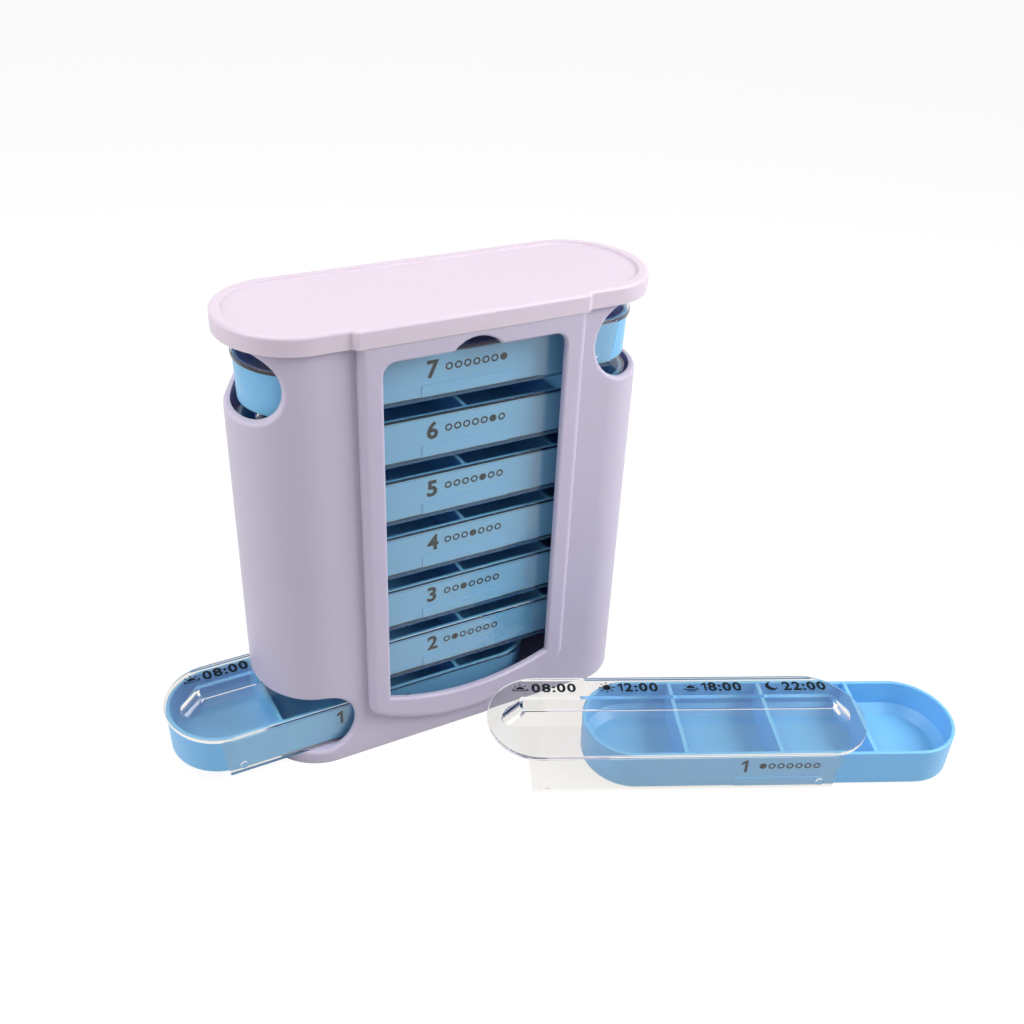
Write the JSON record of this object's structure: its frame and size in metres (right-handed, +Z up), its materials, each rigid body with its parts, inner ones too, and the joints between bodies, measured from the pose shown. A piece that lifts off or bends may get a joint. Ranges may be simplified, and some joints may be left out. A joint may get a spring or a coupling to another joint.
{
  "type": "weekly pill organizer",
  "caption": "Tower of stacked day trays with sliding clear covers, in a windowed housing with a lift-off lid; the lowest tray slides out of a side slot.",
  "frame": {"origin": "the middle of the tower's base, on the surface it stands on", "axes": "+Z up; +X along the tower's length, away from the end where the lowest tray comes out; the window faces -Y"},
  "size_m": [0.2384, 0.1413, 0.15],
  "materials": {
    "housing": "fine satin moulding",
    "lid": "fine satin moulding",
    "tray": "fine satin moulding",
    "cover": "clear polished moulding"
  },
  "bodies": {
    "housing": {"housing": "housing"},
    "lid": {"lid": "lid"},
    "monday_tray": {"monday_tray": "tray"},
    "monday_cover": {"monday_cover": "cover"},
    "loose_tray": {"loose_tray": "tray"},
    "loose_cover": {"loose_cover": "cover"},
    "tuesday_tray": {"tuesday_tray": "tray", "tuesday_cover": "cover"},
    "wednesday_tray": {"wednesday_tray": "tray", "wednesday_cover": "cover"},
    "thursday_tray": {"thursday_tray": "tray", "thursday_cover": "cover"},
    "friday_tray": {"friday_tray": "tray", "friday_cover": "cover"},
    "saturday_tray": {"saturday_tray": "tray", "saturday_cover": "cover"},
    "sunday_tray": {"sunday_tray": "tray", "sunday_cover": "cover"}
  },
  "joints": [
    {"name": "tuesday_tray_lift", "type": "slide", "parent": "housing", "child": "tuesday_tray", "axis": [0, 0, 1], "range_m": [0, 0.1294]},
    {"name": "wednesday_tray_lift", "type": "slide", "parent": "tuesday_tray", "child": "wednesday_tray", "axis": [0, 0, 1], "range_m": [0, 0.1097]},
    {"name": "thursday_tray_lift", "type": "slide", "parent": "wednesday_tray", "child": "thursday_tray", "axis": [0, 0, 1], "range_m": [0, 0.0901]},
    {"name": "friday_tray_lift", "type": "slide", "parent": "thursday_tray", "child": "friday_tray", "axis": [0, 0, 1], "range_m": [0, 0.0704]},
    {"name": "saturday_tray_lift", "type": "slide", "parent": "friday_tray", "child": "saturday_tray", "axis": [0, 0, 1], "range_m": [0, 0.0508]},
    {"name": "sunday_tray_lift", "type": "slide", "parent": "saturday_tray", "child": "sunday_tray", "axis": [0, 0, 1], "range_m": [0, 0.0311]},
    {"name": "lid_lift", "type": "slide", "parent": "sunday_tray", "child": "lid", "axis": [0, 0, 1], "range_m": [0, 0.03]},
    {"name": "monday_tray_slide", "type": "slide", "parent": "housing", "child": "monday_tray", "axis": [-1, 0, 0], "range_m": [-0.0324, 0.105]},
    {"name": "monday_cover_slide", "type": "slide", "parent": "monday_tray", "child": "monday_cover", "axis": [-1, 0, 0], "range_m": [0, 0.1243]},
    {"name": "loose_tray_lift", "type": "slide", "parent": "housing", "child": "loose_tray", "axis": [0, 0, 1], "range_m": [0, 0.16]},
    {"name": "loose_cover_slide", "type": "slide", "parent": "loose_tray", "child": "loose_cover", "axis": [0.9063, -0.4226, 0], "range_m": [0, 0.1554]}
  ]
}
